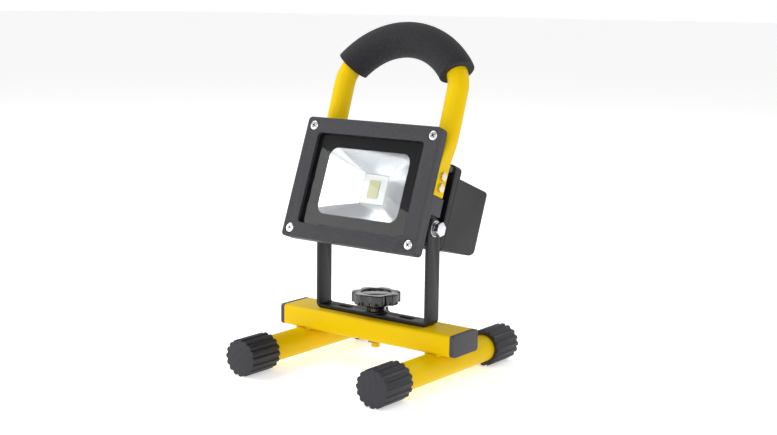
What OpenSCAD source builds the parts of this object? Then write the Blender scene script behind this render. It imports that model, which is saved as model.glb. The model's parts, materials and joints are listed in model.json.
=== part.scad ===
// Rechargeable LED work light on a tubular floor stand.
// The floor is z = 0, +X runs along the crossbar and the light shines towards -Y and upwards.
// Head pieces are drawn in face coordinates: the origin is the middle of the front frame's
// face, +Y runs back into the head and +Z runs up the face. head_place() puts them in the stand.

/* [Stand] */
// Length of the crossbar with its end caps
bar_len = 153.2; // [150:1:170]
// Depth of the crossbar's rectangular tube, front to back
bar_d = 30; // [28:1:32]
// Height of the crossbar's rectangular tube
bar_h = 15; // [14:0.5:16]
// Wall of the crossbar's tube
bar_wall = 1.5; // [1.2:0.1:2]
// Thickness of an end cap's flange
bar_cap_t = 3.4; // [2.5:0.1:4]
// Distance of each leg's axis from the middle
leg_x = 57.5; // [55:0.5:60]
// Radius of a leg tube
leg_r = 9.6; // [9:0.1:10]
// Overall length of a leg with its rubber feet
leg_len = 159; // [155:1:175]
// Outer radius of a rubber foot over its ribs
foot_r = 13.1; // [12.8:0.1:13.6]
// Length of a rubber foot
foot_len = 27.5; // [24:0.5:30]
// Number of ribs around a foot
foot_ribs = 16; // [14:2:18]

/* [Bracket and knob] */
// Outer width of the steel bracket
bracket_w = 98; // [97:0.5:99]
// Width of the bracket's strip
strip_w = 14; // [13:0.5:15]
// Thickness of the bracket's strip
strip_t = 2.5; // [2:0.1:2.6]
// Height of the tilt axis above the floor
pivot_z = 106; // [104:0.5:112]
// Radius of the clamp knob over its lobes
knob_r = 17.4; // [16:0.2:18]
// Height of the knob's top above the floor
knob_top = 55; // [54:0.5:56]
// Number of lobes on the knob
knob_lobes = 7; // [6:1:8]
// Radius of the clamp stud, and of the pivot bolts' thread
thread_r = 3; // [3:0.05:3]

/* [Light head] */
// Lean of the face back from upright, at rest
head_tilt = 20.7; // [0:0.1:30]
// Width of the front frame
face_w = 115; // [114:0.5:118]
// Height of the front frame
face_h = 87.8; // [86:0.2:90]
// Depth of the front frame
frame_d = 6; // [6:0.5:7]
// Width of the window in the front frame
window_w = 92; // [90:0.5:92]
// Height of the window in the front frame
window_h = 66; // [64:0.5:66]
// Thickness of the front glass
glass_t = 2.5; // [2:0.1:2.6]
// Width of the reflector's mouth
mouth_w = 70; // [66:0.5:71]
// Height of the reflector's mouth
mouth_h = 48.4; // [46:0.2:49]
// Depth of the LED board's face behind the front frame's face
led_y = 19.4; // [19.4:0.1:20]
// Side of the square LED board
led_side = 20; // [19:0.5:20]
// Depth of the tilt axis behind the front frame's face
pivot_y = 30; // [29:0.5:31]
// Distance of the tilt axis below the middle of the face
pivot_drop = 20; // [19:0.5:20]

/* [Handle] */
// Distance of each upright of the handle from the middle
handle_x = 49.3; // [49:0.1:49.5]
// Radius of the handle's tube
handle_r = 7.5; // [7.3:0.1:7.5]
// Radius of the handle's two corners
corner_r = 23; // [22:0.5:24]
// Sweep of each corner, in degrees
corner_sweep = 42; // [40:1:44]
// Outer radius of the foam grip
grip_r = 12.9; // [12:0.1:13.2]
// Forward lean of the handle against the face, in degrees
handle_lean = 2; // [1:0.5:3]

/* [Battery pack] */
// Width of the battery case's flange
pack_w = 91; // [90:0.5:91]
// Height of the battery case's flange
pack_h = 61; // [60:0.5:62]
// Depth of the pack's front face behind the front frame's face
pack_y = 44.5; // [44.5:0.5:45]
// Depth of the pack's back behind the front frame's face
pack_back = 95.5; // [95:0.5:96]
// Wall of the battery case
case_wall = 2.5; // [2.3:0.1:2.5]
// Radius of one battery cell
cell_r = 9.2; // [9:0.1:9.2]
// Length of one battery cell
cell_len = 65; // [64:0.5:65]

/* [Hidden] */
$fn = 64;

SIDES = [-1, 1];
GAP = 0.1;              // between faces that slide on each other
FIT = 0.05;             // radial clearance of a shaft in its hole
LOOSE = 0.3;            // radial clearance of a clearance hole

// Stand
bar_z0 = foot_r + leg_r;
bar_z1 = bar_z0 + bar_h;
leg_z = foot_r;
bar_edge_r = 2.2;
foot_wall = 2.5;
foot_bore = leg_r + FIT;
rib_flat_r = foot_r / cos(180 / foot_ribs);
groove_r = 1.5;
plug_len = 9;
stud_tip = 15;
nut_h = 4;
hex_r = 10 / 2 / cos(30);       // across the corners of a 10 mm spanner size

// Bracket and knob
base_z0 = bar_z1 + GAP;
base_z1 = base_z0 + strip_t;
bend_r = 4;
slot_x = 27.3;
slot_len = 12;
slot_w = 5.2;
arm_in = bracket_w / 2 - strip_t;
arm_hole_r = thread_r + LOOSE;
washer_z0 = base_z1 + GAP;
washer_z1 = washer_z0 + 1.1;
knob_z0 = washer_z1 + GAP;
knob_neck_r = 6.8;
knob_disc_z = knob_top - 7.2;
knob_cone_z = knob_disc_z - 3.4;
insert_r = 4.6;
insert_top = knob_top - 3.5;
dish_r = 11;
dish_d = 1.6;

// Front of the head
frame_r = 3;
window_r = 3;
screw_x = 51.5;
screw_z = 37.7;
screw_head_r = 3.5;
screw_shank_r = 1.6;
counter_r = 3.9;
counter_d = 1.6;
glass_y = frame_d - 0.7 - glass_t;
glass_w = window_w + 4.6;
glass_h = window_h + 4.6;
gasket_y = glass_y + glass_t;
mouth_r = 7;
sheet = 0.8;
throat = led_side + 0.6;
pocket_w = mouth_w + 4;
pocket_h = mouth_h + 4;
pad_t = 0.4;
led_t = 1;
floor_y = led_y + led_t + pad_t;

// Housing casting
body_w = 88;
body_h = 68;
body_r = 5;
body_back = 24.5;
rim_top = 7.4;          // back of the casting's rim beside the handle
rim_low = 9.7;          // back of the casting's rim below the handle
pad_back = 20.6;
pad_low = -13.7;        // side blocks run from here ...
pad_mid = -1.2;         // ... full width to here, then a step for the handle's foot ...
pad_high = 17.5;        // ... to here
strap_t = 3;
strap_out = face_w / 2 - 0.3;
strap_in = strap_out - strap_t;
strap_mid = strap_out - strap_t / 2;
fin_back = 42.5;
fin_t = 2;
fin_x = [6, 14, 22, 30, 38];
fin_low = -32;
fin_high = 26;
fin_fall = 0.05;        // each fin's top falls by this share of its distance from the middle
boss_x = 22;
boss_z = 17;
boss_r = 4;
corner_boss_back = 10.5;
pivot_boss_r = 8;
pivot_web = 6.5;         // half width of the web that carries each pivot boss
pivot_boss_x = arm_in - LOOSE;
wire_z = 15.5;
wire_x = 1.5;
wire_r = 0.8;
tinned_r = 0.45;
grommet_r = 4;

// Handle, in its own leaning plane from the top of its flattened feet
leg_top_z = 46;
leg_y = 20.8;
upright = 29.5;
strap_y = 13.6;
strap_w = 12.2;
strap_z0 = -0.7;
strap_z1 = 17;
handle_screw_z = [5.2, 13.2];
handle_screw_r = 3;
handle_wall = 1.3;
strap_power = 9;
sweep_sides = 16;
corner_x = handle_x - corner_r;
crown_drop = corner_x * tan(corner_sweep);
crown_r = corner_r + corner_x / cos(corner_sweep);
grip_left = 36;         // where the foam starts on the left corner, in degrees
grip_right = 33;        // where it ends on the right corner

// Pivots
pivot_face = bracket_w / 2 + GAP;
flat_t = 1.1;
spring_t = 1.4;
pivot_hex_r = 9 / 2 / cos(30);  // across the corners of a 9 mm spanner size

// Battery pack
pack_z = -1.5;
cover_t = 4;
flange_t = 4;           // of the case's flange with its gasket
case_y = pack_y + cover_t;
seal_y = case_y + 0.8;
inner_back = pack_back - case_wall;
post_r = 4;
post_len = 9;
box_w = pack_w - 1.6;
box_z0 = -31;
box_z1 = 21;
box_rise = 3.5;         // how far the box's underside rises towards the back
edge_r = 4;
top_r = 7;
low_r = 12;
corner_screw_x = 41.3;
corner_screw_z = [-28, 25];
cell_x0 = -40.5;
cell_y = [60.9, 79.7];
cell_z = [-14.4, 4.4];
tab_t = 0.3;
holder_t = 2;
board_x = 29;
board_t = 1.6;
board_screw_y = 65;
board_screw_z = [-18, 9];
board_screw_r = 0.9;
post_x = 33.5;          // column of the switch, lamp and socket
switch_z = 7.5;
lamp_z = -2.1;
lamp_r = 1.5;
socket_z = -12;
socket_r = 4;
socket_lip = 0.8;
button_r = 4.4;
button_out = 2.6;
button_front = pack_back - 6;
spring_front = 84;
switch_front = 81;
switch_r = 6;
ring_r = 7.4;
cover_hinge_z = -5.6;
anchor_r = 1;
flap_y = pack_back + socket_lip + LOOSE;
flap_t = 1.6;
flap_w = 4;

module rounded_rect(w, h, r) {
    union() {
        square([w - 2 * r, h], center = true);
        square([w, h - 2 * r], center = true);
        for (sx = SIDES, sy = SIDES)
            translate([sx * (w / 2 - r), sy * (h / 2 - r)]) circle(r);
    }
}

// Extrudes a drawing on the face back from depth y0 to depth y1.
module back(y0, y1) {
    translate([0, y1, 0]) rotate([90, 0, 0]) linear_extrude(y1 - y0) children();
}

// A round bar along X, from x0 to x1.
module bar_x(x0, x1, r) {
    translate([x0, 0, 0]) rotate([0, 90, 0]) cylinder(h = x1 - x0, r = r);
}

// A round bar along Y, from y0 to y1.
module bar_y(y0, y1, r) {
    translate([0, y1, 0]) rotate([90, 0, 0]) cylinder(h = y1 - y0, r = r);
}

module head_place() {
    translate([0, 0, pivot_z]) rotate([-head_tilt, 0, 0]) translate([0, -pivot_y, pivot_drop]) children();
}

module both_sides() {
    children();
    mirror([1, 0, 0]) children();
}

module at_frame_screws() {
    for (sx = SIDES, sz = SIDES) translate([sx * screw_x, 0, sz * screw_z]) children();
}

module at_boss_screws() {
    for (sx = SIDES, sz = SIDES) translate([sx * boss_x, 0, sz * boss_z - 2]) children();
}

module at_cover_screws() {
    for (sx = SIDES, z = corner_screw_z) translate([sx * corner_screw_x, 0, z]) children();
}

// ---- Stand ----

module crossbar() {
    color("gold") difference() {
        translate([0, 0, bar_z0 + bar_h / 2]) rotate([90, 0, 90])
            linear_extrude(bar_len - 2 * bar_cap_t, center = true) difference() {
                rounded_rect(bar_d, bar_h, bar_edge_r);
                rounded_rect(bar_d - 2 * bar_wall, bar_h - 2 * bar_wall, 1);
            }
        translate([0, 0, bar_z0 - 1]) cylinder(h = bar_h + 2, r = thread_r + FIT);
    }
}

module bar_cap() {
    plug_gap = bar_wall + 0.1;
    translate([bar_len / 2 - bar_cap_t, 0, bar_z0 + bar_h / 2]) rotate([90, 0, 90]) {
        linear_extrude(bar_cap_t) rounded_rect(bar_d, bar_h, bar_edge_r);
        translate([0, 0, -plug_len]) linear_extrude(plug_len) difference() {
            rounded_rect(bar_d - 2 * plug_gap, bar_h - 2 * plug_gap, 1);
            rounded_rect(bar_d - 2 * plug_gap - 4, bar_h - 2 * plug_gap - 4, 0.5);
        }
    }
}

module left_bar_cap() {
    color("dimgray") mirror([1, 0, 0]) bar_cap();
}

module right_bar_cap() {
    color("dimgray") bar_cap();
}

module leg(side) {
    reach = leg_len / 2 - foot_wall;
    color("gold") translate([side * leg_x, 0, leg_z]) difference() {
        bar_y(-reach, reach, leg_r);
        bar_y(-reach - 1, reach + 1, leg_r - bar_wall);
    }
}

// Fillets of weld under the crossbar, along both sides of each leg.
module frame_welds() {
    bead = 4.4;
    color("gold") for (side = SIDES) translate([side * leg_x, 0, 0]) difference() {
        for (s = SIDES) translate([s * bead - 1.4, -bar_d / 2 + 2, bar_z0 - 1.6]) cube([2.8, bar_d - 4, 1.6]);
        translate([0, 0, leg_z]) bar_y(-bar_d, bar_d, leg_r);
    }
}

module foot(side, end) {
    half = 180 / foot_ribs;
    color([0.2, 0.2, 0.23]) translate([side * leg_x, end * (leg_len / 2 - foot_len), leg_z])
        mirror([0, end > 0 ? 1 : 0, 0]) rotate([90, 0, 0]) difference() {
            linear_extrude(foot_len) difference() {
                polygon([for (i = [0:foot_ribs - 1])
                    rib_flat_r * [cos(half + 2 * half * i), sin(half + 2 * half * i)]]);
                for (i = [0:foot_ribs - 1]) rotate(half + 2 * half * i)
                    translate([rib_flat_r + 0.2, 0]) circle(groove_r);
            }
            translate([0, 0, -1]) cylinder(h = foot_len - foot_wall + 1, r = foot_bore);
        }
}

module clamp_stud() {
    color("gold") translate([0, 0, stud_tip]) cylinder(h = insert_top - 1 - stud_tip, r = thread_r);
}

module hex(h, r) {
    cylinder(h = h, r = r, $fn = 6);
}

module stud_nut() {
    color("olive") translate([0, 0, bar_z0 - nut_h]) difference() {
        hex(nut_h, hex_r);
        translate([0, 0, -1]) cylinder(h = nut_h + 2, r = thread_r + FIT);
    }
}

// ---- Bracket and knob ----

module bracket() {
    outer_h = 2 * (pivot_z + strip_w - base_z0);
    color([0.16, 0.16, 0.18]) difference() {
        intersection() {
            translate([0, 0, base_z0 + outer_h / 2]) rotate([90, 0, 0])
                linear_extrude(strip_w, center = true) difference() {
                    rounded_rect(bracket_w, outer_h, bend_r);
                    rounded_rect(bracket_w - 2 * strip_t, outer_h - 2 * strip_t, bend_r - strip_t);
                }
            rotate([90, 0, 90]) linear_extrude(bracket_w + 2, center = true) union() {
                translate([-strip_w / 2, base_z0]) square([strip_w, pivot_z - base_z0]);
                translate([0, pivot_z]) circle(strip_w / 2);
            }
        }
        translate([0, 0, pivot_z]) bar_x(-bracket_w, bracket_w, arm_hole_r);
        translate([0, 0, base_z0 - 1]) cylinder(h = strip_t + 2, r = arm_hole_r);
        for (side = SIDES) translate([side * slot_x, 0, base_z0 - 1]) linear_extrude(strip_t + 2)
            union() {
                square([slot_len - slot_w, slot_w], center = true);
                for (s = SIDES) translate([s * (slot_len - slot_w) / 2, 0]) circle(slot_w / 2);
            }
    }
}

module clamp_washer() {
    color("silver") translate([0, 0, washer_z0]) difference() {
        cylinder(h = washer_z1 - washer_z0, r = 8);
        translate([0, 0, -1]) cylinder(h = washer_z1 - washer_z0 + 2, r = thread_r + LOOSE);
    }
}

module knob_body() {
    scallop_r = 6;
    color([0.1, 0.1, 0.12]) difference() {
        union() {
            translate([0, 0, knob_disc_z]) linear_extrude(knob_top - knob_disc_z) difference() {
                circle(knob_r);
                for (i = [0:knob_lobes - 1]) rotate(360 / knob_lobes * (i + 0.5))
                    translate([knob_r + scallop_r - 2.2, 0]) circle(scallop_r);
            }
            translate([0, 0, knob_cone_z])
                cylinder(h = knob_disc_z - knob_cone_z, r1 = knob_neck_r, r2 = knob_r - 4);
            translate([0, 0, knob_z0]) cylinder(h = knob_cone_z - knob_z0, r = knob_neck_r);
        }
        translate([0, 0, knob_top - dish_d]) cylinder(h = dish_d + 1, r = dish_r);
        translate([0, 0, knob_z0 - 1]) cylinder(h = insert_top - knob_z0 + 1, r = insert_r);
    }
}

module knob_insert() {
    color("goldenrod") translate([0, 0, knob_z0]) difference() {
        cylinder(h = insert_top - knob_z0, r = insert_r);
        translate([0, 0, -1]) cylinder(h = insert_top - knob_z0 + 2, r = thread_r + FIT);
    }
}

module knob_cap() {
    color([0.12, 0.12, 0.13]) translate([0, 0, knob_top - dish_d]) cylinder(h = 0.9, r = dish_r - FIT);
}

// ---- Front of the head ----

module front_frame() {
    color([0.29, 0.29, 0.31]) head_place() difference() {
        back(0, frame_d) rounded_rect(face_w, face_h, frame_r);
        back(-1, frame_d + 1) rounded_rect(window_w, window_h, window_r);
        back(glass_y, frame_d + 1) rounded_rect(glass_w + 2 * GAP, glass_h + 2 * GAP, window_r);
        at_frame_screws() {
            bar_y(-1, frame_d + 1, screw_shank_r + FIT);
            bar_y(-1, counter_d, counter_r);
        }
    }
}

// A pan-head screw pointing back from its bearing face at depth 0.
module pan_screw(head_r, head_h, shank_r, len) {
    bar_y(-head_h, 0, head_r);
    bar_y(0, len, shank_r);
}

module frame_screws() {
    color("silver") head_place() at_frame_screws()
        translate([0, counter_d, 0]) pan_screw(screw_head_r, 1.9, screw_shank_r, 7.5);
}

module front_glass() {
    color([0.3, 0.35, 0.38, 0.4]) head_place()
        back(glass_y, glass_y + glass_t) rounded_rect(glass_w, glass_h, window_r);
}

module glass_gasket() {
    color("black") head_place() back(gasket_y, frame_d) difference() {
        rounded_rect(glass_w, glass_h, window_r);
        rounded_rect(glass_w - 10, glass_h - 8, window_r);
    }
}

// A rounded oblong funnel from the mouth to the square throat.
module funnel(grow, y0) {
    hull() {
        back(y0, y0 + 0.01) rounded_rect(mouth_w + 2 * grow, mouth_h + 2 * grow, mouth_r, $fn = 32);
        back(led_y - 0.02, led_y - 0.01) square(throat + 2 * grow, center = true);
    }
}

module reflector() {
    color([0.86, 0.87, 0.89]) head_place() difference() {
        union() {
            funnel(sheet, frame_d + GAP);
            back(frame_d + GAP, frame_d + 2 * GAP + sheet) rounded_rect(pocket_w + 4, pocket_h + 4, mouth_r);
        }
        funnel(0, frame_d + GAP);
        back(frame_d - 1, frame_d + GAP + 0.05) rounded_rect(mouth_w, mouth_h, mouth_r);
        back(led_y - 0.1, led_y + 1) square(throat, center = true);
    }
}

module led_board() {
    color("white") head_place() back(led_y, led_y + led_t) square(led_side, center = true);
}

module led_phosphor() {
    color([0.93, 0.9, 0.5]) head_place() back(led_y - 0.5, led_y) rounded_rect(8.8, 12.6, 0.8);
}

module thermal_pad() {
    color("lightgray") head_place() back(led_y + led_t, floor_y) square(led_side, center = true);
}

// Two leads with tinned ends, from the LED board's edge back through the grommet and across to
// the driver board. The right-hand lead turns first, so that they never cross.
module led_wires() {
    start_y = led_y + led_t / 2;
    turn_y = [case_y + 5.7, case_y + 3.7];
    color("red") head_place() for (i = [0, 1]) {
        x = SIDES[i] * wire_x;
        union() {
            translate([x, start_y, led_side / 2]) cylinder(h = wire_z - led_side / 2, r = tinned_r);
            translate([x, 0, wire_z]) bar_y(start_y, turn_y[i], wire_r);
            for (y = [start_y, turn_y[i]]) translate([x, y, wire_z]) sphere(wire_r);
            translate([0, turn_y[i], wire_z]) bar_x(x, board_x, wire_r);
        }
    }
}

module wire_grommet() {
    color([0.15, 0.15, 0.15]) head_place() translate([0, 0, wire_z]) difference() {
        union() {
            bar_y(body_back, pack_y, grommet_r + 0.9);
            bar_y(body_back - 2, pack_y + 2.5, grommet_r - 0.1);
        }
        for (s = SIDES) translate([s * wire_x, 0, 0]) bar_y(body_back - 3, pack_y + 4, wire_r + 0.1);
    }
}

// ---- Housing and handle ----

// Cooling fins, the outer ones a little shorter.
module fins() {
    for (x = fin_x, side = SIDES)
        translate([side * x - fin_t / 2, body_back - 0.5, fin_low])
            cube([fin_t, fin_back - body_back + 0.5, fin_high - fin_low - fin_fall * x]);
}

module light_housing() {
    color([0.22, 0.22, 0.24]) head_place() difference() {
        union() {
            difference() {
                back(frame_d, rim_low) rounded_rect(face_w, face_h, frame_r);
                translate([-face_w, rim_top, pad_mid]) cube([2 * face_w, rim_low, face_h]);
            }
            back(frame_d, body_back) rounded_rect(body_w, body_h, body_r);
            for (side = SIDES) translate([side > 0 ? body_w / 2 - 3 : -strap_in + GAP, frame_d, pad_low])
                cube([strap_in - GAP - body_w / 2 + 3, pad_back - frame_d, pad_high - pad_low]);
            for (side = SIDES) translate([side > 0 ? body_w / 2 - 3 : -face_w / 2, frame_d, pad_low])
                cube([face_w / 2 - body_w / 2 + 3, pad_back - frame_d, pad_mid - pad_low]);
            fins();
            at_boss_screws() bar_y(body_back - 1, pack_y, boss_r);
            for (side = SIDES) translate([side * screw_x, 0, screw_z]) bar_y(frame_d, corner_boss_back, 4);
            both_sides() translate([0, pivot_y, -pivot_drop])
                bar_x(fin_x[3], pivot_boss_x, pivot_boss_r);
            both_sides() translate([fin_x[3], body_back - 1, -pivot_drop - pivot_web])
                cube([fin_x[4] - fin_x[3], pivot_y - body_back + 1, 2 * pivot_web]);
        }
        back(frame_d - 1, frame_d + 1) rounded_rect(pocket_w + 5, pocket_h + 5, mouth_r + 1);
        back(frame_d - 1, floor_y) rounded_rect(pocket_w, pocket_h, mouth_r);
        at_frame_screws() bar_y(frame_d - 1, corner_boss_back - 1, screw_shank_r + FIT);
        at_boss_screws() bar_y(fin_back - 10, pack_y + 1, 1.5 + FIT);
        translate([0, 0, wire_z]) bar_y(floor_y - 1, body_back - 2, 3);
        translate([0, 0, wire_z]) bar_y(body_back - 2, body_back + 3, grommet_r);
        both_sides() translate([0, pivot_y, -pivot_drop]) bar_x(33, face_w, thread_r + FIT);
        both_sides() for (z = handle_screw_z)
            translate([0, strap_y, z]) bar_x(body_w / 2 - 1, face_w, 1.9 + FIT);
    }
}

function mix(a, b, t) = a + (b - a) * t;
function ease(t) = t * t * (3 - 2 * t);
function unit(v) = v / norm(v);

// A point of the bow, from its own plane (along X, up the uprights) to face coordinates.
function bow_point(x, up) = [x, leg_y - up * sin(handle_lean), leg_top_z + up * cos(handle_lean)];

// Points of a bend of the bow, around its centre, from angle a0 to a1.
function bend_points(x, up, r, a0, a1, steps) =
    [for (i = [0:steps]) let (a = mix(a0, a1, i / steps)) bow_point(x + r * cos(a), up + r * sin(a))];

// Steps along a corner from angle a to its end, about 6 degrees each.
function bend_steps(a) = max(1, round((corner_sweep - a) / 6));

// The bow's centre line from a right-hand angle to the crown's middle and on to a left-hand angle.
function bow_points(a_right, a_left) = concat(
    bend_points(corner_x, upright, corner_r, a_right, corner_sweep - 4, bend_steps(a_right)),
    bend_points(0, upright - crown_drop, crown_r, corner_sweep + 2, 178 - corner_sweep, 12),
    bend_points(-corner_x, upright, corner_r, 184 - corner_sweep, 180 - a_left, bend_steps(a_left)));

// One rounded section across the line at p, running along t, of half sizes a and b. A high
// power squares its corners.
function section(p, t, a, b, power) =
    let (along = unit(t), wide = unit(cross([0, cos(handle_lean), sin(handle_lean)], along)),
        deep = cross(along, wide))
    [for (i = [0:sweep_sides - 1])
        let (ang = 360 * (i + 0.5) / sweep_sides, c = cos(ang), s = sin(ang))
        p + wide * a * sign(c) * pow(abs(c), 2 / power) + deep * b * sign(s) * pow(abs(s), 2 / power)];

// Joins a closed chain of rings, out along the outside and back along the bore, into a tube.
module tube_skin(outside, bore) {
    rings = concat(outside, [for (k = [len(bore) - 1:-1:0]) bore[k]]);
    n = len(rings[0]);
    count = len(rings);
    polyhedron([for (r = rings, p = r) p],
        [for (k = [0:count - 1], i = [0:n - 1])
            let (j = (i + 1) % n, m = (k + 1) % count)
            [k * n + i, m * n + i, m * n + j, k * n + j]]);
}

// Rings of a round bar of radius r along a line of points.
function bar_rings(line, r) = [for (i = [0:len(line) - 1])
    section(line[i], line[min(i + 1, len(line) - 1)] - line[max(i - 1, 0)], r, r, 2)];

// Rings of the right-hand foot, from its flat end up to the round upright, inset from the outside.
function foot_rings(inset) =
    let (flat = strap_t / 2 - inset, wide = strap_w / 2 - inset, round = handle_r - inset)
    concat(
        [section([strap_mid, strap_y, strap_z0], [0, 0, 1], flat, wide, strap_power)],
        [for (i = [0:8]) let (t = ease(i / 8))
            section([mix(strap_mid, handle_x, t), mix(strap_y, leg_y, t), mix(strap_z1, leg_top_z, i / 8)],
                [0, 0, 1], mix(flat, round, t), mix(wide, round, t), mix(strap_power, 2, pow(t, 0.4)))]);

// The same rings on the left, in the order that carries on along the handle.
function mirrored(rings) = [for (k = [len(rings) - 1:-1:0]) [for (p = rings[k]) [-p[0], p[1], p[2]]]];

function handle_rings(inset) = concat(
    foot_rings(inset), bar_rings(bow_points(0, 0), handle_r - inset), mirrored(foot_rings(inset)));

module handle_tube() {
    color("gold") head_place() difference() {
        tube_skin(handle_rings(0), handle_rings(handle_wall));
        both_sides() for (z = handle_screw_z)
            translate([0, strap_y, z]) bar_x(strap_in - 1, strap_out + 1, 1.9 + FIT);
    }
}

module foam_grip() {
    line = bow_points(grip_right, grip_left);
    color([0.2, 0.2, 0.22]) head_place() tube_skin(bar_rings(line, grip_r), bar_rings(line, handle_r + LOOSE));
}

module handle_screws() {
    color("khaki") head_place() both_sides() for (z = handle_screw_z)
        translate([0, strap_y, z]) union() {
            bar_x(body_w / 2, strap_out, 1.9);
            bar_x(strap_out, strap_out + 2, handle_screw_r);
        }
}

// ---- Pivots ----

module at_pivots() {
    head_place() both_sides() translate([0, pivot_y, -pivot_drop]) children();
}

module pivot_bolts() {
    head_x = pivot_face + flat_t + spring_t;
    color("silver") at_pivots() union() {
        bar_x(34, head_x, thread_r);
        translate([head_x, 0, 0]) rotate([0, 90, 0]) hex(3.5, pivot_hex_r);
    }
}

module flat_washers() {
    color("silver") at_pivots() difference() {
        bar_x(pivot_face, pivot_face + flat_t, 5.6);
        bar_x(pivot_face - 1, pivot_face + flat_t + 1, thread_r + FIT);
    }
}

module spring_washers() {
    color("gray") at_pivots() difference() {
        bar_x(pivot_face + flat_t, pivot_face + flat_t + spring_t, 5);
        bar_x(pivot_face, pivot_face + flat_t + spring_t + 1, thread_r + FIT);
        translate([pivot_face, 0, 0]) rotate([20, 0, 0]) translate([0, 0, -0.5]) cube([6, 8, 1]);
    }
}

// ---- Battery pack ----

module pack_plate(y0, y1) {
    translate([0, 0, pack_z]) back(y0, y1) rounded_rect(pack_w, pack_h, edge_r);
}

module pack_cover() {
    color([0.2, 0.2, 0.22]) head_place() difference() {
        pack_plate(pack_y, case_y);
        translate([0, 0, wire_z]) bar_y(pack_y - 1, case_y + 1, grommet_r);
        at_boss_screws() bar_y(pack_y - 1, case_y + 1, 1.5 + FIT);
        at_cover_screws() bar_y(pack_y - 1, case_y + 1, screw_shank_r + FIT);
    }
}

// The two lower cover screws run in round posts in the case's corners.
module at_corner_posts() {
    for (side = SIDES) translate([side * corner_screw_x, 0, corner_screw_z[0]]) children();
}

module pack_gasket() {
    color("black") head_place() difference() {
        pack_plate(case_y, seal_y);
        difference() {
            box_solid(case_y - 1, case_wall);
            at_corner_posts() bar_y(case_y - 2, seal_y + 1, post_r);
        }
        at_cover_screws() bar_y(case_y - 1, seal_y + 1, screw_shank_r + FIT);
    }
}

// The box's outline seen from the side, drawn as [depth, height], shrunk by inset.
module box_side(y0, inset) {
    y1 = pack_back - inset;
    z1 = box_z1 - inset;
    z0 = box_z0 + inset;
    rt = top_r - inset;
    rl = low_r - inset;
    union() {
        polygon([[y0, z0], [y1 - rl, z0 + box_rise], [y1 - rl, z1 - rt], [y1 - rt, z1], [y0, z1]]);
        translate([y1 - rl - 0.01, z0 + box_rise + rl]) square([rl + 0.01, z1 - rt - z0 - box_rise - rl]);
        translate([y1 - rt, z1 - rt]) circle(rt);
        translate([y1 - rl, z0 + box_rise + rl]) circle(rl);
    }
}

module box_solid(y0, inset) {
    w = box_w - 2 * inset;
    intersection() {
        rotate([90, 0, 90]) linear_extrude(w + 2, center = true) box_side(y0, inset);
        translate([0, 0, box_z0 - 1]) linear_extrude(box_z1 - box_z0 + 2)
            translate([0, y0 + (pack_back - inset - y0) / 2 - 5])
                rounded_rect(w, pack_back - inset - y0 + 10, edge_r - inset / 2);
    }
}

module battery_case() {
    color([0.2, 0.2, 0.22]) head_place() difference() {
        union() {
            difference() {
                union() {
                    box_solid(seal_y, 0);
                    pack_plate(seal_y, case_y + flange_t);
                }
                difference() {
                    box_solid(case_y - 1, case_wall);
                    at_corner_posts() bar_y(case_y - 2, case_y + post_len, post_r);
                }
            }
            at_board_screws() bar_x(board_x + board_t, box_w / 2 - case_wall + 0.5, 2.2);
        }
        at_cover_screws() bar_y(case_y - 1, case_y + flange_t + 1, screw_shank_r + FIT);
        at_board_screws() bar_x(board_x, 38, board_screw_r + FIT);
        translate([post_x, 0, switch_z]) bar_y(inner_back - 1, pack_back + 1, switch_r + FIT);
        translate([post_x, 0, socket_z]) bar_y(inner_back - 1, pack_back + 1, socket_r + FIT);
        translate([post_x, 0, lamp_z]) bar_y(inner_back - 1, pack_back + 1, lamp_r + FIT);
        translate([post_x, 0, cover_hinge_z]) bar_y(inner_back - 1, pack_back + 1, anchor_r + FIT);
    }
}

module pack_mount_screws() {
    color("silver") head_place() at_boss_screws() translate([0, case_y, 0]) rotate([180, 0, 0])
        pan_screw(2.8, 1.8, 1.5, 13);
}

module pack_cover_screws() {
    color("silver") head_place() at_cover_screws() translate([0, pack_y, 0])
        pan_screw(2.6, 1.6, screw_shank_r, 7.5);
}

module battery_cells() {
    color("steelblue") head_place() for (y = cell_y, z = cell_z) translate([cell_x0, y, z]) union() {
        bar_x(0, cell_len - 1, cell_r);
        bar_x(0, cell_len, 3);
    }
}

module cell_tabs() {
    color("silver") head_place() {
        for (z = cell_z)
            translate([cell_x0 + cell_len, cell_y[0] - 3, z - 3]) cube([tab_t, cell_y[1] - cell_y[0] + 6, 6]);
        translate([cell_x0 - tab_t, cell_y[0] - 3, cell_z[0] - 3])
            cube([tab_t, cell_y[1] - cell_y[0] + 6, cell_z[1] - cell_z[0] + 6]);
    }
}

// Two plates across the case, each with a hole for every cell.
module cell_holders() {
    color("black") head_place() for (x = [6, 50]) difference() {
        intersection() {
            translate([cell_x0 + x, cell_y[0] - cell_r - 1.3, cell_z[0] - cell_r - 0.8])
                cube([holder_t, cell_y[1] - cell_y[0] + 2 * cell_r + 2.2, cell_z[1] - cell_z[0] + 2 * cell_r + 1.6]);
            box_solid(case_y, case_wall + LOOSE);
        }
        for (y = cell_y, z = cell_z) translate([cell_x0, y, z]) bar_x(0, cell_len, cell_r + FIT);
    }
}

module at_board_screws() {
    for (z = board_screw_z) translate([0, board_screw_y, z]) children();
}

module driver_board() {
    color("green") head_place() difference() {
        translate([board_x, 50, -24]) cube([board_t, 26, 41]);
        at_board_screws() bar_x(board_x - 1, board_x + board_t + 1, board_screw_r + FIT);
    }
}

module board_parts() {
    x = board_x + board_t;
    color("dimgray") head_place() {
        translate([x, 57, -12]) cube([5, 8, 8]);
        translate([x, 66.5, -2]) cube([1.6, 6, 5]);
        translate([0, 60, 1.5]) bar_x(x, x + 6.5, 3);
        translate([0, 71.5, -10]) bar_x(x, x + 6.5, 3);
    }
}

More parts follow.
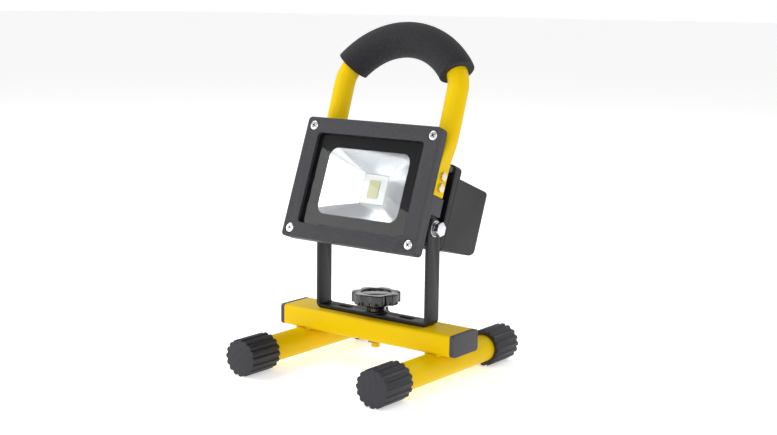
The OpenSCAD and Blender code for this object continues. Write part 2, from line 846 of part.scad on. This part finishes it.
module board_screws() {
    color("silver") head_place() at_board_screws() union() {
        bar_x(board_x - 1, board_x, 1.7);
        bar_x(board_x, 37, board_screw_r);
    }
}

// ---- Switch, socket and lamp on the back ----

module switch_body() {
    color([0.08, 0.08, 0.08]) head_place() translate([post_x, 0, switch_z]) difference() {
        union() {
            bar_y(switch_front, pack_back, switch_r);
            bar_y(pack_back, pack_back + 1.4, ring_r);
        }
        bar_y(spring_front, pack_back + 2, button_r + LOOSE);
    }
}

// A thin nut whose corners are turned down towards the case's wall.
module switch_nut() {
    color("silver") head_place() translate([post_x, 0, switch_z]) difference() {
        intersection() {
            translate([0, inner_back, 0]) rotate([90, 0, 0]) hex(2, 7.4);
            translate([0, inner_back, 0]) rotate([90, 0, 0]) cylinder(h = 2, r1 = 6.3, r2 = 7.4);
        }
        bar_y(inner_back - 3, inner_back + 1, switch_r + FIT);
    }
}

module switch_button() {
    color("firebrick") head_place() translate([post_x, 0, switch_z])
        bar_y(button_front, pack_back + button_out, button_r);
}

module switch_spring() {
    color("silver") head_place() translate([post_x, 0, switch_z]) difference() {
        bar_y(spring_front, button_front, 2.6);
        bar_y(spring_front - 1, button_front + 1, 2);
    }
}

module charge_socket() {
    color([0.1, 0.1, 0.1]) head_place() translate([post_x, 0, socket_z]) difference() {
        union() {
            bar_y(82, pack_back, socket_r);
            bar_y(pack_back, pack_back + socket_lip, socket_r + 1.2);
        }
        bar_y(86, pack_back + 2, 2.75);
    }
}

// The fixed end of the rubber cover, plugged into the case, with an ear at each end of its hinge.
module cover_anchor() {
    ear_r = 1.3;
    ear_in = flap_w / 2 + LOOSE;
    ear_out = ear_in + 1.2;
    color([0.13, 0.13, 0.14]) head_place() translate([post_x, 0, cover_hinge_z]) difference() {
        union() {
            bar_y(inner_back - 1, pack_back, anchor_r);
            translate([-ear_out, pack_back, -1]) cube([2 * ear_out, 0.6, 1 + ear_r]);
            both_sides() {
                translate([0, flap_y + flap_t / 2, 0]) bar_x(ear_in, ear_out, ear_r);
                translate([ear_in, pack_back, -ear_r])
                    cube([ear_out - ear_in, flap_y + flap_t / 2 - pack_back, 2 * ear_r]);
            }
        }
        translate([0, flap_y + flap_t / 2, 0]) bar_x(-ear_out - 1, ear_out + 1, flap_t / 2 + FIT);
    }
}

module charge_cover() {
    pin = flap_w / 2 + LOOSE + 1.2;
    color([0.13, 0.13, 0.14]) head_place() translate([post_x, 0, 0]) union() {
        translate([0, 0, socket_z]) bar_y(flap_y, flap_y + flap_t, socket_r + 1.3);
        translate([-flap_w / 2, flap_y, socket_z]) cube([flap_w, flap_t, cover_hinge_z - socket_z]);
        translate([0, flap_y + flap_t / 2, cover_hinge_z]) bar_x(-pin, pin, flap_t / 2);
        translate([0, 0, socket_z - socket_r - 0.8]) bar_y(flap_y, flap_y + flap_t, 1.5);
    }
}

module charge_lamp() {
    color("limegreen") head_place() translate([post_x, 0, lamp_z]) union() {
        bar_y(90, pack_back, lamp_r);
        bar_y(pack_back, pack_back + 0.7, lamp_r + 0.5);
    }
}

crossbar();
left_bar_cap();
right_bar_cap();
leg(-1);  // left_leg
leg(1);  // right_leg
frame_welds();
foot(-1, -1);  // front_left_foot
foot(1, -1);  // front_right_foot
foot(-1, 1);  // rear_left_foot
foot(1, 1);  // rear_right_foot
clamp_stud();
stud_nut();
bracket();
clamp_washer();
knob_body();
knob_insert();
knob_cap();
front_frame();
frame_screws();
front_glass();
glass_gasket();
reflector();
led_board();
led_phosphor();
thermal_pad();
led_wires();
wire_grommet();
light_housing();
handle_tube();
foam_grip();
handle_screws();
pivot_bolts();
flat_washers();
spring_washers();
pack_cover();
pack_gasket();
battery_case();
pack_mount_screws();
pack_cover_screws();
battery_cells();
cell_tabs();
cell_holders();
driver_board();
board_parts();
board_screws();
switch_body();
switch_nut();
switch_button();
switch_spring();
charge_socket();
cover_anchor();
charge_cover();
charge_lamp();
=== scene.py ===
"""A rechargeable work light: a lamp head with a foam-gripped carry handle and a battery pack on its
back, in a steel bracket that a knob clamps to a stand of painted tube on four rubber feet."""
import json
import math

import bpy
from mathutils import Matrix, Vector

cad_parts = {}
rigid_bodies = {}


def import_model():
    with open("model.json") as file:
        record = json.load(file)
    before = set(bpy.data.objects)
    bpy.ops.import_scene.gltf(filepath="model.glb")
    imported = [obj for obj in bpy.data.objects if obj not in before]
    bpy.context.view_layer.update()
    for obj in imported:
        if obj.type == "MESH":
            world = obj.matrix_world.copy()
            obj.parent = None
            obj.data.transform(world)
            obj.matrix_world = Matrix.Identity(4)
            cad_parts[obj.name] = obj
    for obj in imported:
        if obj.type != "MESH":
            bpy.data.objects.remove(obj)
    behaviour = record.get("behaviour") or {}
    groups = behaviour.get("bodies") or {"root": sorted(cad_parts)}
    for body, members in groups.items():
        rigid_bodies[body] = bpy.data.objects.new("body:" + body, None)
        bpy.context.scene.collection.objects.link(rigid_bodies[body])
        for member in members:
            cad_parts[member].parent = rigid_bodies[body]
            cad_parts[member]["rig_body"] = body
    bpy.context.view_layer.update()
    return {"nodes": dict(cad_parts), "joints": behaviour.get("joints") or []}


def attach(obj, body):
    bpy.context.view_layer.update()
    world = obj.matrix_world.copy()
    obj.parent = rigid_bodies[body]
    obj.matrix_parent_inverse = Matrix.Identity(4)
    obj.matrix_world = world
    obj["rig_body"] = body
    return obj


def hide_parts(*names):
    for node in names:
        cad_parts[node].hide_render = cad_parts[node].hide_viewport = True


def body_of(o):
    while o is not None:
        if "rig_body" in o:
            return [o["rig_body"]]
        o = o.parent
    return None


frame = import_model()
nodes = frame["nodes"]
MM = 0.001

# ---- Camera ----
# It stands a little above the lamp's pivot, off the light's right-hand front corner.
look_at = Vector((0, 0, 0.1089))
camera_distance = 0.91645
camera_side, camera_up, camera_roll = (math.radians(a) for a in (37.04, 9.365, 0.744))
behind = Vector((math.sin(camera_side) * math.cos(camera_up),
                 -math.cos(camera_side) * math.cos(camera_up), math.sin(camera_up)))
turn = behind.to_track_quat("Z", "Y") @ Matrix.Rotation(camera_roll, 3, "Z").to_quaternion()
bpy.ops.object.camera_add(location=look_at + camera_distance * behind, rotation=turn.to_euler())
camera = bpy.context.object
camera.data.sensor_width = 36
camera.data.lens = 60.44
camera.data.shift_x = 0.0146
camera.data.shift_y = -0.0009
bpy.context.scene.camera = camera

# ---- Studio ----
# An opal floor, lit a little from below, in a white room with a dimmer ceiling. A large soft light
# stands high on the left, one by the camera fills the reflector, one stands behind, and the glass
# mirrors a low card on the left.
bpy.ops.mesh.primitive_plane_add(size=40, location=(0, 0, 0))
floor = bpy.context.object
floor.name = "floor"
opal = bpy.data.materials.new("opal_floor")
opal.use_nodes = True
opal_shader = opal.node_tree.nodes["Principled BSDF"]
opal_shader.inputs["Base Color"].default_value = (0.93, 0.93, 0.93, 1)
opal_shader.inputs["Roughness"].default_value = 0.7
opal_shader.inputs["Emission Color"].default_value = (1, 1, 1, 1)
opal_shader.inputs["Emission Strength"].default_value = 0.5
floor.data.materials.append(opal)

room = bpy.data.worlds.new("white_room")
room.use_nodes = True
sky = room.node_tree
sky.nodes["Background"].inputs["Color"].default_value = (1, 1, 1, 1)
height = sky.nodes.new("ShaderNodeSeparateXYZ")
sky.links.new(sky.nodes.new("ShaderNodeTexCoord").outputs["Generated"], height.inputs[0])
wall_to_ceiling = sky.nodes.new("ShaderNodeMapRange")
wall_to_ceiling.interpolation_type = "SMOOTHSTEP"
for label, value in (("From Min", 0.12), ("From Max", 0.5), ("To Min", 1.0), ("To Max", 0.38)):
    wall_to_ceiling.inputs[label].default_value = value
sky.links.new(height.outputs["Z"], wall_to_ceiling.inputs["Value"])
sky.links.new(wall_to_ceiling.outputs["Result"], sky.nodes["Background"].inputs["Strength"])
bpy.context.scene.world = room
bpy.context.scene.view_settings.view_transform = "Standard"


def soft_light(name, side, up, distance, power, size, depth, roll=0):
    """A rectangular light that faces the lamp head, at an angle to the side and an angle up, in
    degrees, and a distance in metres."""
    side, up = math.radians(side), math.radians(up)
    away = Vector((math.sin(side) * math.cos(up), -math.cos(side) * math.cos(up), math.sin(up)))
    facing = away.to_track_quat("Z", "Y") @ Matrix.Rotation(math.radians(roll), 3, "Z").to_quaternion()
    bpy.ops.object.light_add(type="AREA", location=look_at + distance * away, rotation=facing.to_euler())
    light = bpy.context.object
    light.name = name
    light.data.energy = power
    light.data.shape = "RECTANGLE"
    light.data.size = size
    light.data.size_y = depth


soft_light("key_light", -78, 50, 1.7, 12, 1.0, 0.8)
soft_light("front_light", 24, 30, 1.6, 5, 0.6, 0.5)
soft_light("back_light", 150, 40, 1.8, 7, 1.2, 0.5)
soft_light("low_card", -42, 14, 1.2, 2.4, 0.9, 0.3, roll=-12)

# ---- Crossbar ----
# A length of rectangular steel tube, powder coated yellow, with a moulded plastic cap pressed into
# each end.
weld_gap = 0.002        # vertices closer than this are one, in millimetres
flat_angle = math.radians(0.6)
pair_angle = math.radians(60)
edge_angle = math.radians(40)


def dressed(node, rounding, steps=3, smooth=35, name=None, swept=False):
    """A copy of a CAD node with its edges rounded, in millimetres, which stands for the node. The
    triangles of a swept tube are paired up, and those of any other piece are merged where it is flat."""
    body = body_of(nodes[node])[0]
    piece = bpy.data.objects.new(name or node + "_finished", nodes[node].data.copy())
    bpy.context.collection.objects.link(piece)
    bpy.ops.object.select_all(action="DESELECT")
    bpy.context.view_layer.objects.active = piece
    piece.select_set(True)
    piece.data.materials.clear()
    bpy.ops.mesh.customdata_custom_splitnormals_clear()
    bpy.ops.object.mode_set(mode="EDIT")
    bpy.ops.mesh.select_all(action="SELECT")
    bpy.ops.mesh.remove_doubles(threshold=weld_gap * MM)
    if swept:
        bpy.ops.mesh.tris_convert_to_quads(face_threshold=pair_angle, shape_threshold=pair_angle)
    else:
        bpy.ops.mesh.dissolve_limited(angle_limit=flat_angle)
    bpy.ops.object.mode_set(mode="OBJECT")
    if rounding:
        edge = piece.modifiers.new("edge", "BEVEL")
        edge.width = rounding * MM
        edge.segments = steps
        edge.limit_method = "ANGLE"
        edge.angle_limit = edge_angle
        edge.use_clamp_overlap = True
        bpy.ops.object.modifier_apply(modifier="edge")
    bpy.ops.object.shade_smooth_by_angle(angle=math.radians(smooth))
    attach(piece, body)
    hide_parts(node)
    return piece


def paint(piece, finish):
    """Gives a piece, or a CAD node by its name, one finish all over."""
    if isinstance(piece, str):
        piece = nodes[piece]
    if piece.material_slots:
        for place in piece.material_slots:
            place.material = finish
    else:
        piece.data.materials.append(finish)


def new_group(name, inputs, outputs):
    """A shader node group with its sockets, and its input and output nodes."""
    group = bpy.data.node_groups.new(name, "ShaderNodeTree")
    for label, kind, value in inputs:
        socket = group.interface.new_socket(label, in_out="INPUT", socket_type=kind)
        if value is not None:
            socket.default_value = value
    for label, kind in outputs:
        group.interface.new_socket(label, in_out="OUTPUT", socket_type=kind)
    return group, group.nodes.new("NodeGroupInput"), group.nodes.new("NodeGroupOutput")


def link(tree, source, target):
    """Joins two sockets, source to target."""
    tree.links.new(source, target)


def maths(tree, operation, a, b):
    """A Math node whose inputs are sockets or numbers."""
    node = tree.nodes.new("ShaderNodeMath")
    node.operation = operation
    for socket, value in zip(node.inputs, (a, b)):
        if isinstance(value, (int, float)):
            socket.default_value = value
        else:
            link(tree, value, socket)
    return node.outputs[0]


def noise(tree, place, scale, detail):
    """A noise pattern of so many cells a metre."""
    node = tree.nodes.new("ShaderNodeTexNoise")
    link(tree, place, node.inputs["Vector"])
    if isinstance(scale, (int, float)):
        node.inputs["Scale"].default_value = scale
    else:
        link(tree, scale, node.inputs["Scale"])
    node.inputs["Detail"].default_value = detail
    return node.outputs["Fac"]


# Handling: slow changes of tone and gloss over a surface, with fine dust specks.
handling, given, result = new_group(
    "handling",
    [("Place", "NodeSocketVector", None), ("Colour", "NodeSocketColor", (0.5, 0.5, 0.5, 1)),
     ("Gloss", "NodeSocketFloat", 0.4), ("Tone", "NodeSocketFloat", 0.1),
     ("Smudges", "NodeSocketFloat", 0.1), ("Dust", "NodeSocketFloat", 0.03),
     ("Mottle", "NodeSocketFloat", 0)],
    [("Colour", "NodeSocketColor"), ("Roughness", "NodeSocketFloat")])
broad = noise(handling, given.outputs["Place"], 28, 4)
fine = noise(handling, given.outputs["Place"], 900, 2)
specks = maths(handling, "GREATER_THAN", noise(handling, given.outputs["Place"], 2600, 1), 0.71)
swing = maths(handling, "MULTIPLY", maths(handling, "SUBTRACT", broad, 0.5), given.outputs["Tone"])
mottle = maths(handling, "MULTIPLY", maths(handling, "SUBTRACT", fine, 0.5), given.outputs["Mottle"])
shade = handling.nodes.new("ShaderNodeHueSaturation")
link(handling, given.outputs["Colour"], shade.inputs["Color"])
link(handling, maths(handling, "ADD", maths(handling, "ADD", swing, mottle), 1),
     shade.inputs["Value"])
dusty = handling.nodes.new("ShaderNodeMix")
dusty.data_type = "RGBA"
dusty.inputs["B"].default_value = (0.55, 0.54, 0.52, 1)
link(handling, shade.outputs["Color"], dusty.inputs["A"])
link(handling, maths(handling, "MULTIPLY", specks, given.outputs["Dust"]), dusty.inputs["Factor"])
link(handling, dusty.outputs["Result"], result.inputs["Colour"])
rub = maths(handling, "MULTIPLY", maths(handling, "SUBTRACT", maths(handling, "ADD", broad, fine), 1),
            given.outputs["Smudges"])
link(handling, maths(handling, "ADD", given.outputs["Gloss"], rub), result.inputs["Roughness"])

# Grain: the height of a cast, coated or moulded skin, as bumps of one size with finer ones on them.
grain, given, result = new_group(
    "grain",
    [("Place", "NodeSocketVector", None), ("Cells", "NodeSocketFloat", 900),
     ("Fine", "NodeSocketFloat", 0.4)],
    [("Height", "NodeSocketFloat")])
cells = grain.nodes.new("ShaderNodeTexVoronoi")
cells.feature = "SMOOTH_F1"
link(grain, given.outputs["Place"], cells.inputs["Vector"])
link(grain, given.outputs["Cells"], cells.inputs["Scale"])
finer = noise(grain, given.outputs["Place"], maths(grain, "MULTIPLY", given.outputs["Cells"], 2.3), 3)
finer = maths(grain, "MULTIPLY", finer, given.outputs["Fine"])
link(grain, maths(grain, "ADD", cells.outputs["Distance"], finer), result.inputs["Height"])


def finish_of(name, colour, gloss, tone=0.12, smudges=0.12, dust=0.02, mottle=0.0, cells=None, depth=0.05,
              fine=0.4, **fixed):
    """A material with handling marks and, where cells is given, a grain of so many cells a metre.
    depth is the grain's height in millimetres, and fixed sets the shader's own sockets."""
    made = bpy.data.materials.new(name)
    made.use_nodes = True
    tree = made.node_tree
    shader = tree.nodes["Principled BSDF"]
    where = tree.nodes.new("ShaderNodeTexCoord").outputs["Object"]
    marks = tree.nodes.new("ShaderNodeGroup")
    marks.node_tree = handling
    link(tree, where, marks.inputs["Place"])
    marks.inputs["Colour"].default_value = (*colour, 1)
    for label, value in (("Gloss", gloss), ("Tone", tone), ("Smudges", smudges), ("Dust", dust),
                         ("Mottle", mottle)):
        marks.inputs[label].default_value = value
    link(tree, marks.outputs["Colour"], shader.inputs["Base Color"])
    link(tree, marks.outputs["Roughness"], shader.inputs["Roughness"])
    if cells:
        skin = tree.nodes.new("ShaderNodeGroup")
        skin.node_tree = grain
        link(tree, where, skin.inputs["Place"])
        skin.inputs["Cells"].default_value = cells
        skin.inputs["Fine"].default_value = fine
        bump = tree.nodes.new("ShaderNodeBump")
        bump.inputs["Strength"].default_value = 1
        bump.inputs["Distance"].default_value = depth * MM
        link(tree, skin.outputs["Height"], bump.inputs["Height"])
        link(tree, bump.outputs["Normal"], shader.inputs["Normal"])
    for label, value in fixed.items():
        shader.inputs[label.replace("_", " ")].default_value = value
    return made


yellow_coat = finish_of("yellow_powder_coat", (0.79, 0.53, 0.0), 0.42, tone=0.06, cells=650, depth=0.012,
                        Specular_IOR_Level=0.1)
paint(dressed("crossbar", 0.35), yellow_coat)
grained_cap = finish_of("grained_cap_plastic", (0.06, 0.06, 0.068), 0.55, cells=1500, depth=0.03,
                        Specular_IOR_Level=0.35)
for cap in ("left_bar_cap", "right_bar_cap"):
    paint(dressed(cap, 0.45), grained_cap)

# ---- Legs ----
# Two round steel tubes welded across the underside of the crossbar, coated with it.
for leg in ("left_leg", "right_leg", "frame_welds"):
    paint(leg, yellow_coat)

# ---- Feet ----
# Ribbed rubber ferrules pushed over the ends of the legs, satin with a fine moulded skin.
foot_rubber = finish_of("foot_rubber", (0.018, 0.018, 0.024), 0.5, tone=0.25, dust=0.05, mottle=0.5,
                        cells=1300, depth=0.03, Specular_IOR_Level=0.4)
for foot in ("front_left_foot", "front_right_foot", "rear_left_foot", "rear_right_foot"):
    paint(dressed(foot, 0.6, smooth=40), foot_rubber)

# ---- Clamp stud ----
# A steel stud up through the crossbar, coated with it, and the plated hexagon nut that holds it
# from underneath.
paint(dressed("clamp_stud", 0.5), yellow_coat)
paint(dressed("stud_nut", 0.3), finish_of("passivated_steel", (0.32, 0.27, 0.1), 0.35, Metallic=1.0))

# ---- Bracket ----
# Steel strip bent to a U and painted satin black, with two slots in its base.
black_steel = finish_of("black_painted_steel", (0.005, 0.005, 0.008), 0.42, tone=0.2, cells=900, depth=0.01,
                        Specular_IOR_Level=0.4)
paint(dressed("bracket", 0.35), black_steel)

# ---- Clamp knob ----
# A glossy moulded knob with seven lobes and a brass thread, over a blackened washer.
knob_gloss = finish_of("glossy_knob_plastic", (0.008, 0.008, 0.009), 0.16, tone=0.1, smudges=0.1,
                       Coat_Weight=0.5, Coat_Roughness=0.08)
paint(dressed("knob_body", 1.1, steps=4, smooth=50), knob_gloss)
paint(dressed("knob_cap", 0.3), knob_gloss)
paint("knob_insert", finish_of("turned_brass", (0.72, 0.5, 0.2), 0.3, Metallic=1.0))
paint(dressed("clamp_washer", 0.2), black_steel)

# ---- Lamp housing ----
# A die casting with a deep tray for the reflector, cooling fins and a boss for each pivot bolt,
# coated in fine textured dark grey.
textured_coat = finish_of("textured_dark_coat", (0.03, 0.03, 0.036), 0.5, tone=0.35, dust=0.1,
                          mottle=1.2, cells=1100, depth=0.13, fine=0.8, Specular_IOR_Level=0.4)
paint(dressed("light_housing", 0.4), textured_coat)

# ---- Reflector and LED ----
# A pressed tray of bright anodised sheet round the square LED board, whose yellow phosphor covers
# a grid of chips.
mirror_sheet = finish_of("bright_anodised_sheet", (0.74, 0.75, 0.78), 0.24, tone=0.05, smudges=0.1,
                         cells=420, depth=0.012, Metallic=1.0)
paint("reflector", mirror_sheet)
paint(dressed("led_board", 0.1), finish_of("white_solder_mask", (0.68, 0.68, 0.69), 0.4, tone=0.03))
paint(dressed("led_phosphor", 0.2), finish_of("yellow_phosphor", (0.47, 0.46, 0.27), 0.45, tone=0.1,
                                              cells=700, depth=0.02))
paint("thermal_pad", finish_of("grey_thermal_pad", (0.4, 0.4, 0.42), 0.7, cells=1000, depth=0.02))
paint("led_wires", finish_of("red_wire_sleeve", (0.5, 0.015, 0.012), 0.35))
soft_black = finish_of("black_silicone", (0.012, 0.012, 0.013), 0.55, cells=1500, depth=0.01)
for seal in ("wire_grommet", "glass_gasket", "pack_gasket"):
    paint(seal, soft_black)

# ---- Front glass ----
# A toughened sheet with a glossy black border printed on its inner face.
glass = bpy.data.materials.new("clear_glass")
glass.use_nodes = True
glass_shader = glass.node_tree.nodes["Principled BSDF"]
glass_shader.inputs["Base Color"].default_value = (0.97, 0.99, 0.985, 1)
glass_shader.inputs["Roughness"].default_value = 0.0
glass_shader.inputs["IOR"].default_value = 1.33
glass_shader.inputs["Transmission Weight"].default_value = 1.0
see_through = glass.node_tree.nodes.new("ShaderNodeBsdfTransparent")
light_or_eye = glass.node_tree.nodes.new("ShaderNodeLightPath")
either = glass.node_tree.nodes.new("ShaderNodeMixShader")
link(glass.node_tree, light_or_eye.outputs["Is Shadow Ray"], either.inputs["Fac"])
link(glass.node_tree, glass_shader.outputs["BSDF"], either.inputs[1])
link(glass.node_tree, see_through.outputs["BSDF"], either.inputs[2])
link(glass.node_tree, either.outputs["Shader"], glass.node_tree.nodes["Material Output"].inputs["Surface"])
paint(dressed("front_glass", 0.4), glass)

# The face leans back from upright, and the tilt axis lies behind its middle and below it.
face_lean = math.radians(20.7)
pivot_depth, pivot_drop = 30, 20
pivot = Vector(next(j for j in frame["joints"] if j["name"] == "head_tilt")["pos_m"])
face = (Matrix.Translation(pivot) @ Matrix.Rotation(-face_lean, 4, "X")
        @ Matrix.Translation((0, -pivot_depth * MM, pivot_drop * MM)))


def settle(piece, place, body, name):
    """Puts a piece made at the world's origin where place says, and makes it ride on a body."""
    piece.name = name
    piece.data.name = name
    piece.data.transform(place @ piece.matrix_world)
    piece.matrix_world = Matrix.Identity(4)
    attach(piece, body)


def select_only(piece):
    """Makes one object the selected and active one."""
    bpy.ops.object.select_all(action="DESELECT")
    piece.select_set(True)
    bpy.context.view_layer.objects.active = piece


def rounded_sheet(w, h, corner, depth):
    """A flat sheet with rounded corners, in the plane of the face at a depth, in millimetres."""
    bpy.ops.object.select_all(action="DESELECT")
    bpy.ops.mesh.primitive_plane_add(size=1, rotation=(math.pi / 2, 0, 0), location=(0, depth * MM, 0))
    sheet = bpy.context.object
    sheet.scale = (w * MM, h * MM, 1)
    bpy.ops.object.transform_apply(location=True, rotation=True, scale=True)
    bpy.ops.object.mode_set(mode="EDIT")
    bpy.ops.mesh.select_all(action="SELECT")
    bpy.ops.mesh.bevel(offset=corner * MM, segments=8, affect="VERTICES")
    bpy.ops.object.mode_set(mode="OBJECT")
    return sheet


print_depth = 5.285
print_thickness = 0.012
mouth_w, mouth_h, mouth_corner = 69.6, 48.0, 6.8
border_w, border_h, border_corner = 96.2, 70.2, 3
mouth = rounded_sheet(mouth_w, mouth_h, mouth_corner, print_depth)
border = rounded_sheet(border_w, border_h, border_corner, print_depth)
mouth.select_set(True)
bpy.ops.object.join()
bpy.ops.object.mode_set(mode="EDIT")
bpy.ops.mesh.select_all(action="SELECT")
bpy.ops.mesh.delete(type="ONLY_FACE")
bpy.ops.mesh.select_all(action="SELECT")
bpy.ops.mesh.bridge_edge_loops()
bpy.ops.object.mode_set(mode="OBJECT")
thick = border.modifiers.new("thick", "SOLIDIFY")
thick.thickness = print_thickness * MM
bpy.ops.object.modifier_apply(modifier="thick")
settle(border, face, "head", "printed_border")
paint(border, finish_of("black_glass_print", (0.006, 0.006, 0.007), 0.5, tone=0.0, smudges=0.04, dust=0.0,
                        Specular_IOR_Level=0.1))

# ---- Front frame ----
# A cast frame that holds the glass, with a screw in a counterbore at each corner.
paint(dressed("front_frame", 0.7, steps=4), textured_coat)
zinc = finish_of("bright_zinc", (0.75, 0.76, 0.79), 0.3, tone=0.1, cells=500, depth=0.006, Metallic=1.0)
# The darker zinc for the cross recesses is painted shade: it stands for the shadow that falls inside each
# recess.
painted_recess_shade = finish_of("zinc_recess_painted_shade", (0.09, 0.09, 0.1), 0.5, Metallic=1.0)


def pan_head_screw(head_r, head_h, place, body, name):
    """A domed screw head with a cross recess, facing -Y, whose bearing face is at place."""
    bpy.ops.object.select_all(action="DESELECT")
    bpy.ops.mesh.primitive_cylinder_add(vertices=40, radius=head_r * MM, depth=head_h * MM,
                                        rotation=(math.pi / 2, 0, 0), location=(0, -head_h / 2 * MM, 0))
    head = bpy.context.object
    bpy.ops.object.transform_apply(location=True, rotation=True, scale=True)
    dome = head.modifiers.new("dome", "BEVEL")
    dome.width = 0.62 * head_h * MM
    dome.segments = 6
    dome.limit_method = "ANGLE"
    bpy.ops.object.modifier_apply(modifier="dome")
    recess_deep, recess_long, recess_wide = 0.75 * head_h, 1.15 * head_r, 0.26 * head_r
    for w, h in ((recess_long, recess_wide), (recess_wide, recess_long)):
        bpy.ops.mesh.primitive_cube_add(size=1, location=(0, -head_h * MM, 0))
        blade = bpy.context.object
        blade.scale = (w * MM, 2 * recess_deep * MM, h * MM)
        bpy.ops.object.transform_apply(location=True, rotation=True, scale=True)
        bpy.ops.object.mode_set(mode="EDIT")
        bpy.ops.mesh.select_all(action="DESELECT")
        bpy.ops.object.mode_set(mode="OBJECT")
        for corner in blade.data.vertices:
            corner.select = corner.co.y > -head_h * MM
        bpy.ops.object.mode_set(mode="EDIT")
        bpy.ops.transform.resize(value=(0.6, 1, 0.6))
        bpy.ops.object.mode_set(mode="OBJECT")
        cut = head.modifiers.new("cut", "BOOLEAN")
        cut.object = blade
        cut.solver = "EXACT"
        select_only(head)
        bpy.ops.object.modifier_apply(modifier="cut")
        bpy.data.objects.remove(blade)
    bpy.ops.object.shade_smooth_by_angle(angle=math.radians(35))
    head.data.materials.append(zinc)
    head.data.materials.append(painted_recess_shade)
    # Faces inside the cross recess take the darker zinc, as painted shade for the recess's shadow.
    for facet in head.data.polygons:
        x, y, z = facet.center / MM
        if math.hypot(x, z) < 0.75 * recess_long and -0.78 * head_h < y < -0.05:
            facet.material_index = 1    # inside the recess, below the dome
    settle(head, place, body, name)
    return head


screw_x, screw_z, counterbore = 51.5, 37.7, 1.6
screw_head_r, screw_head_h = 3.5, 1.9
first_turn, turn_between = 20, 37
for number, (x, z) in enumerate(((-screw_x, screw_z), (screw_x, screw_z),
                                 (-screw_x, -screw_z), (screw_x, -screw_z))):
    spin = Matrix.Rotation(math.radians(first_turn + turn_between * number), 4, "Y")
    seat = face @ Matrix.Translation((x * MM, counterbore * MM, z * MM)) @ spin
    head = pan_head_screw(screw_head_r, screw_head_h, seat, "head", f"frame_screw_{number + 1}")
    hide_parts("frame_screws")

# ---- Carry handle ----
# One steel tube bent to a bow, its ends pressed flat and screwed to the housing's sides, with a
# foam sleeve along the top.


def rounded_tube(node, support, proud, name):
    """A smooth copy of a swept CAD tube: its end edges are held by a bevel of support millimetres,
    then the whole skin is subdivided and pushed out by proud millimetres, which subdividing took."""
    piece = dressed(node, 0, name=name, swept=True)
    select_only(piece)
    ends = piece.modifiers.new("ends", "BEVEL")
    ends.width = support * MM
    ends.segments = 2
    ends.limit_method = "ANGLE"
    ends.angle_limit = math.radians(60)
    bpy.ops.object.modifier_apply(modifier="ends")
    smooth = piece.modifiers.new("smooth", "SUBSURF")
    smooth.levels = smooth.render_levels = 2
    bpy.ops.object.modifier_apply(modifier="smooth")
    bpy.ops.object.mode_set(mode="EDIT")
    bpy.ops.mesh.select_all(action="SELECT")
    bpy.ops.transform.shrink_fatten(value=proud * MM)
    bpy.ops.object.mode_set(mode="OBJECT")
    bpy.ops.object.shade_smooth()
    return piece


paint(dressed("handle_tube", 0, smooth=60), yellow_coat)
foam = rounded_tube("foam_grip", support=1.6, proud=0.1, name="foam_sleeve")
paint(foam, finish_of("closed_cell_foam", (0.014, 0.014, 0.018), 0.85, tone=0.5, smudges=0.1, dust=0.12,
                      mottle=1.6, cells=1000, depth=0.25, fine=1.0, Specular_IOR_Level=0.3,
                      Sheen_Weight=0.06, Sheen_Roughness=0.6))
yellow_zinc = finish_of("yellow_zinc", (0.72, 0.66, 0.46), 0.3, Metallic=1.0)
paint(dressed("handle_screws", 1.2, steps=5), yellow_zinc)

# ---- Pivot bolts ----
# A hexagon bolt on each side, over a spring washer and a flat washer, clamps the head at any tilt.
paint(dressed("pivot_bolts", 0.35), zinc)
paint(dressed("flat_washers", 0.2), zinc)
paint(dressed("spring_washers", 0.15), finish_of("spring_steel", (0.42, 0.42, 0.44), 0.33, Metallic=1.0))

# ---- Battery pack ----
# A moulded case closed by a cover plate, screwed to the bosses between the fins.
case_coat = finish_of("satin_case_plastic", (0.004, 0.004, 0.006), 0.5, tone=0.25, dust=0.08, cells=1200,
                      depth=0.06, fine=0.6, Specular_IOR_Level=0.35)
paint(dressed("pack_cover", 0.5), case_coat)
paint(dressed("battery_case", 0.7), case_coat)
for trim in ("pack_mount_screws", "pack_cover_screws", "board_screws", "cell_tabs", "switch_nut"):
    paint(trim, zinc)
paint("battery_cells", finish_of("blue_shrink_wrap", (0.02, 0.12, 0.4), 0.3))
moulded_black = finish_of("moulded_black", (0.014, 0.014, 0.015), 0.4, cells=1200, depth=0.01)
for inner in ("cell_holders", "board_parts"):
    paint(inner, moulded_black)
paint("driver_board", finish_of("green_circuit_board", (0.02, 0.16, 0.06), 0.35))

# ---- Switch, socket and lamp ----
# They stand in a column on the case's back: a push button in a round bezel, a charge lamp, and the
# charging socket under its hinged rubber cover.
paint(dressed("switch_body", 0.5), moulded_black)
button_red = finish_of("red_button_plastic", (0.42, 0.012, 0.01), 0.28, smudges=0.08)
paint(dressed("switch_button", 0.6), button_red)
paint("switch_spring", finish_of("bright_spring_wire", (0.5, 0.5, 0.52), 0.3, Metallic=1.0))
paint(dressed("charge_socket", 0.2), moulded_black)
paint(dressed("cover_anchor", 0.15), soft_black)
paint(dressed("charge_cover", 0.4), soft_black)
paint(dressed("charge_lamp", 0.3), finish_of("green_lamp_lens", (0.03, 0.42, 0.06), 0.15, Coat_Weight=0.6))
